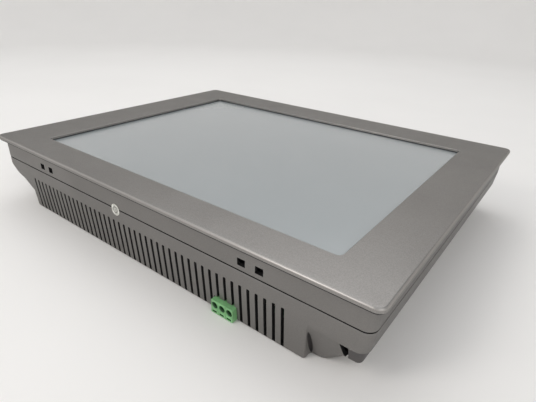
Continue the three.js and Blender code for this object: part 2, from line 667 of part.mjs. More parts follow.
// ---- assembly ----
place('front_bezel', frontBezel(), 'casting');
place('panel_gasket', panelGasket(), 'gasket');
place('display_gasket', displayGasket(), 'gasket');
place('touch_panel', touchPanel(), 'touch');
place('touch_flex_cable', touchFlex(), 'film');
place('lcd_module', lcdModule(), 'display');
place('display_cable', displayCable(), 'film');
place('chassis_plate', chassisPlate(), 'steel');
chassisCorners.forEach(([x, y], i) => {
  place(`chassis_screw_${i + 1}`, screwUp(x, y, CHASSIS_BOTTOM - 0.1, 3, 1.8, CHASSIS_SCREW_R, 8), 'steel');
});
place('main_board', boardWithHoles(boardArea, BOARD_BOTTOM, BOARD_TOP, boardCorners), 'board');
boardCorners.forEach(([x, y], i) => {
  place(`board_screw_${i + 1}`, screwUp(x, y, BOARD_BOTTOM - 0.1, 2.8, 1.8, SCREW_R, 5.5), 'steel');
});
place('processor', box(-48, -20, 3, 31, BOARD_BOTTOM - 2.5, BOARD_BOTTOM - 0.1), 'chip');
place('heat_sink', heatSink(), 'fins');
place('memory_chip', box(2, 14, -12, 2, BOARD_BOTTOM - 1.5, BOARD_BOTTOM - 0.1), 'chip');
place('flash_chip', box(18, 28, -14, 4, BOARD_BOTTOM - 1.5, BOARD_BOTTOM - 0.1), 'chip');
place('battery_holder', batteryHolder(), 'chip');
place('clock_battery', clockBattery(), 'steel');
place('backlight_board', box(18, 104, 70, 92, CHASSIS_BOTTOM - 6, CHASSIS_BOTTOM - 4.6), 'board');
place('backlight_transformer', box(50, 70, 74, 88, CHASSIS_BOTTOM - 14, CHASSIS_BOTTOM - 6.1), 'chip');
place('power_board', boardWithHoles(powerArea, POWER_BOARD_BOTTOM, POWER_BOARD_TOP, powerCorners), 'board');
powerCorners.forEach(([x, y], i) => {
  place(`power_board_screw_${i + 1}`, screwUp(x, y, POWER_BOARD_BOTTOM - 0.1, 2.8, 1.8, SCREW_R, 6), 'steel');
});
place('input_capacitor_1', capacitor(94, -86), 'can');
place('input_capacitor_2', capacitor(106, -86), 'can');
place('power_inductor', powerInductor(), 'chip');
place('input_fuse', inputFuse(), 'steel');
place('terminal_header', terminalHeader(), 'plug');
place('ethernet_port', ethernetPort(ETHERNET_X), 'port');
USB_X.forEach((x, i) => place(`usb_port_${i + 1}`, usbPort(x), 'port'));
SERIAL_X.forEach((x, i) => place(`serial_port_${i + 1}`, serialPort(x), 'port'));
place('rear_cover', rearCover(), 'casting');
pillarPlaces.forEach(([x, y], i) => {
  place(`cover_screw_${i + 1}`, screwUp(x, y, 0.9, 3, 0.8, SCREW_R, 8), 'steel');
});
place('seal_sticker', sealSticker(), 'sticker');
place('rating_label', ratingLabel(), 'label');
place('terminal_plug', terminalPlug(), 'plug');
plugPoles.forEach((x, i) => place(`clamp_screw_${i + 1}`, clampScrew(x), 'steel'));
plugPoles.forEach((x, i) => place(`wire_clamp_${i + 1}`, wireClamp(x), 'steel'));

export default panel;
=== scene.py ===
"""Looks for a flush-mount operator panel: paint, screen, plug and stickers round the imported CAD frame.

Lengths are metres in the part's frame: +Z out of the screen, +X along the long side, the supply plug on -Y.
"""
import json
import math

import bmesh
import bpy
from mathutils import Euler, Matrix, Vector


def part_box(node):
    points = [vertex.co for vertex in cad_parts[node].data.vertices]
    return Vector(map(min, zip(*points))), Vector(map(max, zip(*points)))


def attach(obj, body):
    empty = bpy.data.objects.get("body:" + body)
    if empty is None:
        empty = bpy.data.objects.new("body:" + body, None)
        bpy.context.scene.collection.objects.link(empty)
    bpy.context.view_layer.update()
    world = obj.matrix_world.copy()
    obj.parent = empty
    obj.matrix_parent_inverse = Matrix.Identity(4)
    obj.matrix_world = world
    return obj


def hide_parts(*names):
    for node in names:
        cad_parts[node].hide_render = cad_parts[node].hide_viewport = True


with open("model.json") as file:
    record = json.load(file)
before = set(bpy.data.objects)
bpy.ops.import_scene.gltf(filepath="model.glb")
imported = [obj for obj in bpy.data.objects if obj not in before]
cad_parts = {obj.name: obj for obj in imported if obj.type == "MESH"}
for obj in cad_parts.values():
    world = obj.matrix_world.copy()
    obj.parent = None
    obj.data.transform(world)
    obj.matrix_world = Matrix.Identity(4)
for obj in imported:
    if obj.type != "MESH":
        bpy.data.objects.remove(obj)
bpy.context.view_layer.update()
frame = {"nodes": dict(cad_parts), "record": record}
MM = 0.001

# ---- sizes, from the CAD boxes where a box gives them ----
BEZEL_LO, BEZEL_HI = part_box("front_bezel")
COVER_LO, COVER_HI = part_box("rear_cover")
TOUCH_LO, TOUCH_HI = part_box("touch_panel")
PLUG_LO, PLUG_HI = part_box("terminal_plug")
SEAL_LO, SEAL_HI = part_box("seal_sticker")
LABEL_LO, LABEL_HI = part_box("rating_label")

# front bezel: a flange, and a skirt under it
DEPTH = BEZEL_HI.z
FLANGE_W = BEZEL_HI.x - BEZEL_LO.x
FLANGE_H = BEZEL_HI.y - BEZEL_LO.y
FLANGE_R = 4.8 * MM
FLANGE_T = 2.5 * MM
FLANGE_ROUND = 1.4 * MM
FACE_T = 1.6 * MM
SCREEN = dict(w=251 * MM, h=188.2 * MM, r=3 * MM, cx=3.6 * MM, cy=-4.9 * MM)
CLIP_X = [x * MM for x in (-99.8, -88.8, 87, 98)]
CLIP_W, CLIP_H = 4.9 * MM, 4.1 * MM
CLIP_Z = DEPTH - 12 * MM

# rear cover: an upper band, two leaning ends, and a central box whose long walls stay nearly upright
BODY_W = COVER_HI.x - COVER_LO.x
BODY_H = COVER_HI.y - COVER_LO.y
BODY_R = 5.2 * MM
WALL = 2.2 * MM
FLOOR = 2 * MM
SEAM_TOP = BEZEL_LO.z
COVER_TOP = SEAM_TOP - 0.7 * MM
BAND_BOTTOM = DEPTH - 25.7 * MM
END_INSET_X = 20.5 * MM
END_INSET_Y = 7.2 * MM
CORNER_GROWTH = 2 * MM
RIGHT_LEAN = 1.5 * MM
BOX_LEFT = -124.6 * MM
BOX_RIGHT = 125.5 * MM
BOX_DRAFT = 1.4 * MM
BOX_SIDE_DRAFT = 0.5 * MM
# height above the back and distance from the middle to the left end, in millimetres
LEFT_PROFILE = ((0, 135.2), (0.2, 135.3), (13.3, 140.6), (19.8, 142.7), (21.5, 146.8), (28.5, 155.8),
                (60, 155.8))
COVER_LEVELS = [h * MM for h in (30, 29, 28, 26.5, 25.3, 24.4, 23.4, 22.4, 21.6, 20.9, 20.2, 19.5, 18.6,
                                 16, 14, 12.8, 10, 7, 4, 2.6)]
SLOTS = dict(count=45, pitch=5.207 * MM, first=-116.9 * MM, w=1.9 * MM, top=DEPTH - 25.8 * MM,
             bottom=0.9 * MM)
LIP_TOP = DEPTH - 29.2 * MM
LIP_BOTTOM = DEPTH - 36.6 * MM
LIP_START_X = 142 * MM
# a notch under the start of the lip, in millimetres from its upper corner
NOTCH = ((-0.2, -0.2), (0.1, -1.4), (0.3, -2.6), (0.8, -4.2), (1.4, -5.6), (2.2, -6.9), (3.2, -7.9),
         (4, -7.9), (4, -0.2))
SCOOP = dict(rx=1.8 * MM, ry=1.5 * MM, rz=9.5 * MM, x=BOX_RIGHT - 0.2 * MM, z=10.5 * MM)

# connector pocket in the back, with its sockets as (middle X, half width, height) in millimetres
POCKET = dict(x0=-114 * MM, x1=10 * MM, y0=-92 * MM, y1=-50 * MM, top=27.9 * MM, wall=1.8 * MM, r=MM)
PORT_TOP = DEPTH - 23.7 * MM
PORTS = ((-102, 8.3, 13.8), (-85, 6.9, 7), (-69, 6.9, 7), (-45.5, 15.7, 12.8), (-10.5, 15.7, 12.8))
# cover screws, as (X, Y) in millimetres
PILLARS = ((-112, -103), (20, -103), (104, -52), (-112, 92), (0, 92), (112, 92))

# supply plug and seal sticker
POLE_PITCH = 5.08 * MM
POLES = [(PLUG_LO.x + PLUG_HI.x) / 2 + k * POLE_PITCH for k in (-1, 0, 1)]
SEAL_MIDDLE = (SEAL_LO + SEAL_HI) / 2
SEAL_R = (SEAL_HI.x - SEAL_LO.x) / 2

OVERCUT = 1 * MM       # how far a cutter runs past the face that it cuts
PAINT_SKIN = 0.2 * MM  # faces that lie deeper than this behind an outer wall count as inside
WEAR_RADIUS = 0.22 * MM
SMALL_EDGE = 0.12 * MM


# ---- mesh helpers ----
def rounded(w, h, r, cx=0.0, cy=0.0, n=10):
    """A rounded rectangle as a counterclockwise list of points."""
    points = []
    for sx, sy, start in ((1, -1, -90), (1, 1, 0), (-1, 1, 90), (-1, -1, 180)):
        for k in range(n + 1):
            a = math.radians(start + 90 * k / n)
            points.append((cx + sx * (w / 2 - r) + r * math.cos(a), cy + sy * (h / 2 - r) + r * math.sin(a)))
    return points


def at(points, z):
    return [Vector((x, y, z)) for x, y in points]


def mesh_object(name, verts, faces):
    """A linked mesh object with doubled points merged and its faces pointing out."""
    mesh = bpy.data.meshes.new(name)
    mesh.from_pydata([tuple(v) for v in verts], [], faces)
    bm = bmesh.new()
    bm.from_mesh(mesh)
    bmesh.ops.remove_doubles(bm, verts=bm.verts, dist=1e-7)
    bmesh.ops.dissolve_degenerate(bm, edges=bm.edges, dist=1e-7)
    bmesh.ops.recalc_face_normals(bm, faces=bm.faces)
    bm.to_mesh(mesh)
    bm.free()
    obj = bpy.data.objects.new(name, mesh)
    bpy.context.scene.collection.objects.link(obj)
    return obj


def loft(name, rings, cyclic=False):
    """A closed skin over rings of equal length. It is capped at both ends unless the rings form a cycle."""
    count = len(rings[0])
    verts = [p for ring in rings for p in ring]
    faces = []
    pairs = [(i, i + 1) for i in range(len(rings) - 1)]
    if cyclic:
        pairs.append((len(rings) - 1, 0))
    for a, b in pairs:
        for k in range(count):
            m = (k + 1) % count
            faces.append((a * count + k, a * count + m, b * count + m, b * count + k))
    if not cyclic:
        faces.append(tuple(range(count)))
        faces.append(tuple(reversed(range((len(rings) - 1) * count, len(rings) * count))))
    return mesh_object(name, verts, faces)


def block(x0, x1, y0, y1, z0, z1, r=0.0, n=4, axis="z"):
    """A cutter or a core: a box whose edges along one axis may be rounded."""
    radius = max(r, 1e-5)
    steps = n if r else 1
    if axis == "z":
        outline = rounded(x1 - x0, y1 - y0, radius, (x0 + x1) / 2, (y0 + y1) / 2, steps)
        return loft("block", [at(outline, z) for z in (z0, z1)])
    outline = rounded(x1 - x0, z1 - z0, radius, (x0 + x1) / 2, (z0 + z1) / 2, steps)
    return loft("block", [[Vector((x, y, z)) for x, z in outline] for y in (y0, y1)])


def turned(name, profile, place, segments):
    """A solid of revolution from (radius, height) pairs; place maps (x, y, height) to a point."""
    rings = []
    for radius, height in profile:
        ring = []
        for k in range(segments):
            a = 2 * math.pi * k / segments
            ring.append(place(radius * math.cos(a), radius * math.sin(a), height))
        rings.append(ring)
    return loft(name, rings)


def upright(x, y):
    """The place of a turned solid that stands on (x, y)."""
    return lambda a, b, h: Vector((x + a, y + b, h))


def joined(objs):
    """One mesh object from several."""
    bm = bmesh.new()
    for obj in objs:
        bm.from_mesh(obj.data)
    mesh = bpy.data.meshes.new("joined")
    bm.to_mesh(mesh)
    bm.free()
    for obj in objs:
        bpy.data.objects.remove(obj)
    whole = bpy.data.objects.new("joined", mesh)
    bpy.context.scene.collection.objects.link(whole)
    return whole


def boolean(obj, tools, operation):
    """Cuts from or adds to obj, and keeps the result as its mesh."""
    tool = joined(tools)
    modifier = obj.modifiers.new("cut", "BOOLEAN")
    modifier.operation = operation
    modifier.solver = "EXACT"
    modifier.object = tool
    deps = bpy.context.evaluated_depsgraph_get()
    result = bpy.data.meshes.new_from_object(obj.evaluated_get(deps))
    obj.modifiers.clear()
    obj.data = result
    bpy.data.objects.remove(tool)
    return obj


def smooth(obj, degrees=32):
    """Shades obj smoothly, apart from edges sharper than this."""
    for polygon in obj.data.polygons:
        polygon.use_smooth = True
    obj.data.set_sharp_from_angle(angle=math.radians(degrees))
    modifier = obj.modifiers.new("normals", "WEIGHTED_NORMAL")
    modifier.keep_sharp = True
    return obj


def edged(obj, width):
    """Rounds the sharp edges of obj."""
    modifier = obj.modifiers.new("edges", "BEVEL")
    modifier.width = width
    modifier.segments = 2
    modifier.limit_method = "ANGLE"
    modifier.angle_limit = math.radians(35)


# ---- materials ----
class Nodes:
    """Short names for building one material."""

    def __init__(self, name):
        self.material = bpy.data.materials.new(name)
        self.material.use_nodes = True
        self.tree = self.material.node_tree
        self.shader = self.tree.nodes["Principled BSDF"]
        self.coords = self.tree.nodes.new("ShaderNodeTexCoord").outputs["Object"]

    def add(self, kind, **inputs):
        node = self.tree.nodes.new(kind)
        for key, value in inputs.items():
            name = key.replace("_", " ")
            if isinstance(value, bpy.types.NodeSocket):
                self.tree.links.new(value, node.inputs[name])
            else:
                node.inputs[name].default_value = value
        return node

    def noise(self, scale, detail, stretch=None):
        vector = self.coords
        if stretch:
            mapping = self.add("ShaderNodeMapping", Vector=vector, Scale=stretch)
            vector = mapping.outputs["Vector"]
        return self.add("ShaderNodeTexNoise", Vector=vector, Scale=scale, Detail=detail).outputs["Fac"]

    def ramp(self, value, low, high, start=0.35, end=0.65):
        """Maps value from start..end to low..high."""
        node = self.add("ShaderNodeMapRange", Value=value, From_Min=start, From_Max=end,
                        To_Min=low, To_Max=high)
        return node.outputs["Result"]

    def math(self, operation, a, b):
        node = self.tree.nodes.new("ShaderNodeMath")
        node.operation = operation
        for socket, value in zip(node.inputs, (a, b)):
            if isinstance(value, bpy.types.NodeSocket):
                self.tree.links.new(value, socket)
            else:
                socket.default_value = value
        return node.outputs[0]

    def mix(self, factor, a, b, blend="MIX"):
        node = self.tree.nodes.new("ShaderNodeMix")
        node.data_type = "RGBA"
        node.blend_type = blend
        for socket, value in ((node.inputs[0], factor), (node.inputs[6], a), (node.inputs[7], b)):
            if isinstance(value, bpy.types.NodeSocket):
                self.tree.links.new(value, socket)
            else:
                socket.default_value = (*value, 1) if isinstance(value, tuple) else value
        return node.outputs[2]

    def bump(self, height, distance, strength, normal=None):
        node = self.add("ShaderNodeBump", Height=height, Distance=distance, Strength=strength)
        if normal is not None:
            self.tree.links.new(normal, node.inputs["Normal"])
        return node.outputs["Normal"]

    def edge_wear(self, colour, worn, amount):
        """Patchy wear along edges, found by comparing the surface with a rounded copy of itself."""
        rounded_normal = self.add("ShaderNodeBevel", Radius=WEAR_RADIUS)
        rounded_normal.samples = 4
        compare = self.tree.nodes.new("ShaderNodeVectorMath")
        compare.operation = "DOT_PRODUCT"
        self.tree.links.new(rounded_normal.outputs["Normal"], compare.inputs[0])
        self.tree.links.new(self.tree.nodes.new("ShaderNodeNewGeometry").outputs["Normal"], compare.inputs[1])
        edge = self.ramp(compare.outputs["Value"], amount, 0.0, 0.75, 0.985)
        patches = self.ramp(self.noise(70, 3), 0.25, 1.0)
        return self.mix(self.math("MULTIPLY", edge, patches), colour, worn)

    def set(self, **inputs):
        for key, value in inputs.items():
            socket = self.shader.inputs[key.replace("_", " ")]
            if isinstance(value, bpy.types.NodeSocket):
                self.tree.links.new(value, socket)
            elif socket.type == "RGBA":
                socket.default_value = (*value, 1)
            else:
                socket.default_value = value
        return self.material


def shade(colour, factor):
    return tuple(min(1.0, c * factor) for c in colour)


def painted(name, colour, metallic, roughness, flake=0.06):
    """Metallic paint: cloudy tone, fine flake, faint orange peel and paler edges."""
    n = Nodes(name)
    cloud = n.ramp(n.noise(14, 3), 0.0, 1.0)
    tone = n.mix(cloud, shade(colour, 0.96), shade(colour, 1.04))
    flakes = n.ramp(n.noise(2600, 2), 1 - flake, 1 + flake)
    speck = n.add("ShaderNodeCombineColor", Red=flakes, Green=flakes, Blue=flakes).outputs["Color"]
    tone = n.mix(1.0, tone, speck, "MULTIPLY")
    tone = n.edge_wear(tone, shade(colour, 1.7), 0.5)
    rough = n.ramp(n.noise(40, 4), roughness - 0.03, roughness + 0.04)
    peel = n.bump(n.noise(420, 2), 0.02 * MM, 0.12)
    grain = n.bump(n.noise(2600, 2), 0.006 * MM, 0.15, peel)
    return n.set(Base_Color=tone, Metallic=metallic, Roughness=rough, Normal=grain,
                 Specular_Tint=(0.55, 0.55, 0.55))


def plastic(name, colour, roughness, spread=0.06, scale=60, **more):
    """Moulded plastic: slight tone drift, fine texture, paler worn edges."""
    n = Nodes(name)
    drift = n.ramp(n.noise(scale, 3), 0.0, 1.0)
    tone = n.mix(drift, shade(colour, 1 - spread), shade(colour, 1 + spread))
    tone = n.edge_wear(tone, shade(colour, 1.5), 0.5)
    rough = n.ramp(n.noise(scale * 6, 3), roughness - 0.05, roughness + 0.06)
    grain = n.bump(n.noise(2400, 2), 0.015 * MM, 0.6)
    return n.set(Base_Color=tone, Roughness=rough, Normal=grain, **more)


def metal(name, colour, roughness):
    """Bare metal with a faint directional grain."""
    n = Nodes(name)
    streak = n.noise(220, 4, (1, 12, 12))
    tone = n.mix(n.ramp(streak, 0.0, 1.0), shade(colour, 0.9), shade(colour, 1.06))
    tone = n.edge_wear(tone, shade(colour, 1.3), 0.6)
    rough = n.ramp(streak, roughness - 0.06, roughness + 0.1)
    grain = n.bump(streak, 0.02 * MM, 0.5)
    return n.set(Base_Color=tone, Metallic=1.0, Roughness=rough, Normal=grain)


def rubber(name, colour):
    """Matt rubber with pale dust in its grain."""
    n = Nodes(name)
    dust = n.ramp(n.noise(180, 5), 0.0, 0.5, 0.5, 0.75)
    tone = n.mix(dust, colour, shade(colour, 1.8))
    grain = n.bump(n.noise(1500, 3), 0.04 * MM, 0.7)
    return n.set(Base_Color=tone, Roughness=n.ramp(n.noise(90, 3), 0.7, 0.85), Normal=grain)


def screen_film(name, colour):
    """Grey anti-glare touch film: a grainy satin skin with faint wiping marks."""
    n = Nodes(name)
    drift = n.ramp(n.noise(9, 2), 0.0, 1.0)
    tone = n.mix(drift, shade(colour, 0.985), shade(colour, 1.015))
    wiped = n.ramp(n.noise(11, 3, (1, 2, 1)), 0.2, 0.23)
    grain = n.bump(n.noise(900, 2), 0.002 * MM, 0.2)
    tone = n.edge_wear(tone, shade(colour, 1.2), 0.4)
    return n.set(Base_Color=tone, Roughness=wiped, Normal=grain, IOR=2.0,
                 Coat_Weight=1.0, Coat_Roughness=0.26)


def circuit_board(name, colour):
    """Green solder mask with a faint pattern of tracks and pads."""
    n = Nodes(name)
    cells = n.add("ShaderNodeTexVoronoi", Vector=n.coords, Scale=260.0)
    cells.feature = "DISTANCE_TO_EDGE"
    track = n.ramp(cells.outputs["Distance"], 1.0, 0.0, 0.02, 0.06)
    tone = n.mix(track, colour, shade(colour, 1.6))
    pads = n.ramp(n.noise(700, 1), 0.0, 1.0, 0.66, 0.68)
    tone = n.mix(pads, tone, (0.55, 0.5, 0.36))
    return n.set(Base_Color=tone, Roughness=0.35, Coat_Weight=0.3, Normal=n.bump(track, 0.03 * MM, 0.6))


def milky(name, light):
    """Clear sticker film gone milky, with a faint crackle."""
    n = Nodes(name)
    cloud = n.ramp(n.noise(420, 4), 0.0, 1.0)
    tone = n.mix(cloud, shade((0.42, 0.42, 0.38), light), shade((0.7, 0.7, 0.65), light))
    wrinkles = n.bump(n.noise(600, 4), 0.08 * MM, 0.7)
    return n.set(Base_Color=tone, Roughness=n.ramp(n.noise(300, 3), 0.2, 0.4), Normal=wrinkles,
                 Coat_Weight=0.4)


def paper_label(name):
    """Pale laminated label with plain ruled bands in place of any print."""
    n = Nodes(name)
    fibre = n.ramp(n.noise(900, 4), 0.0, 1.0)
    tone = n.mix(fibre, (0.6, 0.61, 0.59), (0.68, 0.69, 0.67))
    split = n.add("ShaderNodeSeparateXYZ", Vector=n.coords).outputs
    line_pitch = 5.5 * MM
    bands = n.math("SINE", n.math("MULTIPLY", split["Y"], 2 * math.pi / line_pitch), 0.0)
    lines = n.ramp(bands, 0.0, 0.75, 0.93, 0.96)
    tone = n.mix(lines, tone, (0.12, 0.12, 0.13))
    return n.set(Base_Color=tone, Roughness=0.45, Coat_Weight=0.2, Normal=n.bump(fibre, 0.01 * MM, 0.5))


# the paints, and the finishes with painted shade and painted highlight that repaint gives to some faces of a
# piece
PAINT = painted("paint_pewter", (0.305, 0.293, 0.281), 0.82, 0.32, 0.1)
PAINT_REAR_AND_SHADE = painted("paint_pewter_rear_and_painted_shade", (0.208, 0.2, 0.192), 0.55, 0.4)
PAINT_EDGE_HIGHLIGHT = painted("paint_edge_painted_highlight", (0.385, 0.369, 0.353), 0.8, 0.33)
PAINT_LIP_AND_SHADE = painted("paint_lip_and_painted_shade", (0.085, 0.08, 0.08), 0.1, 0.55)
SEAL_RING_SHADE = milky("milky_sticker_painted_shade", 0.5)
PLUG_SHADE = plastic("plug_green_painted_cavity_shade", (0.02, 0.075, 0.025), 0.5, 0.08, 220)
INSIDE_SHADE = plastic("inner_painted_shade", (0.004, 0.004, 0.0045), 0.85)

# the finish of each material slot
LOOKS = {
    "casting": PAINT,
    "gasket": rubber("gasket_rubber", (0.018, 0.018, 0.02)),
    "touch": screen_film("touch_film", (0.276, 0.309, 0.321)),
    "display": plastic("display_frame", (0.03, 0.032, 0.036), 0.5),
    "steel": metal("zinc_plated_steel", (0.6, 0.6, 0.58), 0.32),
    "board": circuit_board("solder_mask", (0.012, 0.085, 0.04)),
    "chip": plastic("chip_plastic", (0.014, 0.014, 0.016), 0.55),
    "fins": metal("cast_fins", (0.55, 0.56, 0.57), 0.38),
    "plug": plastic("plug_green", (0.21, 0.475, 0.207), 0.36, 0.08, 220,
                    Subsurface_Weight=0.06, Subsurface_Scale=0.6 * MM),
    "port": metal("port_shell", (0.58, 0.58, 0.57), 0.26),
    "can": plastic("capacitor_sleeve", (0.01, 0.014, 0.022), 0.3),
    "film": plastic("amber_film", (0.36, 0.15, 0.03), 0.3),
    "sticker": milky("milky_sticker", 1.15),
    "label": paper_label("plain_label"),
}


def finished(obj, body, slot, *nodes, material=None):
    """Paints a new piece, ties it to its body, and hides the CAD nodes it stands for."""
    obj.data.materials.clear()
    obj.data.materials.append(material or LOOKS[slot])
    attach(obj, body)
    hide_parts(*nodes)
    return obj


def repaint(obj, material, test):
    """Gives the faces that pass test(centre, normal) another material."""
    obj.data.materials.append(material)
    index = len(obj.data.materials) - 1
    for polygon in obj.data.polygons:
        if test(polygon.center, polygon.normal):
            polygon.material_index = index


# ---- front bezel ----
def quarter(radius, steps):
    """(inset, drop) pairs round a quarter circle, from the top face out and down."""
    pairs = []
    for k in range(steps + 1):
        a = math.radians(90 * k / steps)
        pairs.append((radius * (1 - math.sin(a)), radius * (1 - math.cos(a))))
    return pairs


def flange_ring(inset, z):
    return at(rounded(FLANGE_W - 2 * inset, FLANGE_H - 2 * inset, FLANGE_R - inset), z)


def body_ring(inset, z):
    return at(rounded(BODY_W - 2 * inset, BODY_H - 2 * inset, BODY_R - inset), z)


def window_ring(outset, z):
    """The screen opening's outline, grown by outset."""
    s = SCREEN
    return at(rounded(s["w"] + 2 * outset, s["h"] + 2 * outset, s["r"] + outset, s["cx"], s["cy"]), z)


def front_bezel():
    """From the screen opening over the face and the flange's edge, then down the skirt and back up inside."""
    lip, foot, blend, seam_edge = 0.35 * MM, 0.4 * MM, 0.5 * MM, 0.3 * MM
    low = DEPTH - FLANGE_T
    rings = [window_ring(0, DEPTH - FACE_T)]
    rings += [window_ring(outset, DEPTH - drop) for outset, drop in reversed(quarter(lip, 4))]
    rings += [flange_ring(inset, DEPTH - drop) for inset, drop in quarter(FLANGE_ROUND, 8)]
    rings += [flange_ring(inset, low + drop) for inset, drop in reversed(quarter(foot, 4))]
    rings += [body_ring(-inset, low - drop) for inset, drop in quarter(blend, 4)]
    rings += [body_ring(inset, SEAM_TOP + drop) for inset, drop in reversed(quarter(seam_edge, 3))]
    rings += [body_ring(WALL, SEAM_TOP), body_ring(WALL, DEPTH - FACE_T)]
    return loft("bezel_front", rings, cyclic=True)


def clip_holes():
    """Cutters for the small holes that the mounting clips hook into, in both long sides of the skirt."""
    reach, radius = 4 * MM, 0.25 * MM
    holes = []
    for x in CLIP_X:
        for side in (-1, 1):
            y = side * BODY_H / 2
            holes.append(block(x - CLIP_W / 2, x + CLIP_W / 2, y - reach, y + reach,
                               CLIP_Z - CLIP_H / 2, CLIP_Z + CLIP_H / 2, radius, 3, "y"))
    return holes


def on_skirt(centre, normal):
    return abs(normal.z) < 0.5 and centre.z < DEPTH - FLANGE_T


def on_rounding(centre, normal):
    """The flange's rounded outer edge, which gets a painted highlight."""
    from_rim = max(abs(centre.x) - FLANGE_W / 2, abs(centre.y) - FLANGE_H / 2)
    return 0.4 < normal.z < 0.9 and centre.z < DEPTH - 0.05 * MM and from_rim > -2 * FLANGE_ROUND


def inside_bezel(centre, normal):
    """The hole sides and the faces behind the skirt that point in; these get painted shade."""
    near = 0.15 * MM
    faces_in = centre.x * normal.x + centre.y * normal.y < -0.01
    in_hole = (any(abs(centre.x - x) < CLIP_W / 2 + near for x in CLIP_X)
               and abs(centre.z - CLIP_Z) < CLIP_H / 2 + near)
    behind = centre.z < DEPTH - 2 * FACE_T and abs(centre.y) < BODY_H / 2 - PAINT_SKIN
    return behind and (faces_in or in_hole)


bezel = boolean(front_bezel(), clip_holes(), "DIFFERENCE")
finished(smooth(bezel), "panel", "casting", "front_bezel")
# the bezel's upright sides take the darker rear paint as painted shade
repaint(bezel, PAINT_REAR_AND_SHADE, on_skirt)
# the brighter paint on the flange's rounded edge is a painted highlight
repaint(bezel, PAINT_EDGE_HIGHLIGHT, on_rounding)
# near-black on the clip-hole sides and inner faces is painted shade
repaint(bezel, INSIDE_SHADE, inside_bezel)


# ---- rear cover ----
def left_half_width(z):
    """Distance from the middle to the left end at height z."""
    for (z0, x0), (z1, x1) in zip(LEFT_PROFILE, LEFT_PROFILE[1:]):
        if z <= z1 * MM:
            return (x0 + (x1 - x0) * (z / MM - z0) / (z1 - z0)) * MM
    return LEFT_PROFILE[-1][1] * MM


def eased_left(z):
    """The same distance averaged over a short height, so that the outline bends softly."""
    spread = 0.7 * MM
    return sum(left_half_width(max(0.0, z + k * spread)) for k in (-1, -0.5, 0, 0.5, 1)) / 5


def right_half_width(z):
    """The right wall leans in evenly from the seam to the lip."""
    return BODY_W / 2 - RIGHT_LEAN * (COVER_TOP - z) / (COVER_TOP - LIP_TOP)


def eased_lean(below):
    """0 at the band to 1 at the back, with a soft start instead of a crease."""
    ease = 0.1
    start = below * below / (4 * ease) if below < 2 * ease else below - ease
    return start / (1 - ease)


def cover_ring(z, inset=0.0):
    """The cover's outline: two leaning ends, and a central box that steps out from them lower down."""
    below = max(0.0, (BAND_BOTTOM - z) / BAND_BOTTOM)
    lean = eased_lean(below)
    wall_y = BODY_H / 2 - BOX_DRAFT * lean - inset
    end_y = BODY_H / 2 - END_INSET_Y * lean - inset
    step = wall_y - end_y
    left = eased_left(z) - inset
    right = min(right_half_width(z), BODY_W / 2 - END_INSET_X * below) - inset
    radius = BODY_R + CORNER_GROWTH * lean - inset
    box_l = BOX_LEFT + BOX_SIDE_DRAFT * lean + inset
    box_r = BOX_RIGHT - BOX_SIDE_DRAFT * lean - inset
    hollow_x, crest_x = 1.2 * MM, 0.9 * MM
    hollow_y, crest_y = 0.6 * step, 0.4 * step
    corner_steps, arc_steps = 10, 6
    arc = [math.radians(90 * k / arc_steps) for k in range(arc_steps + 1)]
    near = []
    for k in range(corner_steps + 1):
        a = math.radians(180 + 90 * k / corner_steps)
        near.append((-left + radius + radius * math.cos(a), -end_y + radius + radius * math.sin(a)))
    for a in arc:
        near.append((box_l - hollow_x + hollow_x * math.sin(a), -end_y - hollow_y * (1 - math.cos(a))))
    for a in arc:
        near.append((box_l + crest_x * (1 - math.cos(a)), -end_y - hollow_y - crest_y * math.sin(a)))
    for a in reversed(arc):
        near.append((box_r - crest_x * (1 - math.cos(a)), -end_y - hollow_y - crest_y * math.sin(a)))
    for a in reversed(arc):
        near.append((box_r + hollow_x - hollow_x * math.sin(a), -end_y - hollow_y * (1 - math.cos(a))))
    for k in range(corner_steps + 1):
        a = math.radians(270 + 90 * k / corner_steps)
        near.append((right - radius + radius * math.cos(a), -end_y + radius + radius * math.sin(a)))
    far = [(x, -y) for x, y in reversed(near)]
    return at(near + far, z)


def cover_outside():
    rim, foot = 0.3 * MM, 1.2 * MM
    rings = [cover_ring(COVER_TOP - drop, inset) for inset, drop in quarter(rim, 3)]
    rings += [cover_ring(z) for z in COVER_LEVELS]
    rings += [cover_ring(drop, inset) for inset, drop in reversed(quarter(foot, 5))]
    return loft("cover_rear", rings)


def cover_hollow():
    """What the cover holds inside its walls and floor."""
    rings = [cover_ring(COVER_TOP + 2 * OVERCUT, WALL)]
    rings += [cover_ring(z, WALL) for z in COVER_LEVELS]
    rings.append(cover_ring(FLOOR, WALL))
    return loft("hollow", rings)


def lip_ring(z, inset_x, inset_y, radius):
    outline = rounded(2 * (right_half_width(z) - inset_x), BODY_H - 2 * inset_y, radius)
    return at([(max(x, LIP_START_X), y) for x, y in outline], z)


def lip_solid():
    """The deeper band and the lip under it, on the right side."""
    rows = (
        (BAND_BOTTOM + 0.5 * MM, 0, 0, BODY_R),
        (LIP_TOP + 0.3 * MM, 0, 0, BODY_R),
        (LIP_TOP + 0.08 * MM, 0.1 * MM, 0.1 * MM, BODY_R),
        (LIP_TOP, 0.3 * MM, 0.3 * MM, BODY_R),
        (LIP_TOP - 0.02 * MM, 1 * MM, 1 * MM, 3.4 * MM),
        (LIP_BOTTOM + 0.8 * MM, 1.5 * MM, 1.8 * MM, 2.6 * MM),
        (LIP_BOTTOM + 0.2 * MM, 1.7 * MM, 2.1 * MM, 2.4 * MM),
        (LIP_BOTTOM, 2.6 * MM, 3 * MM, 2 * MM),
    )
    return loft("lip", [lip_ring(*row) for row in rows])


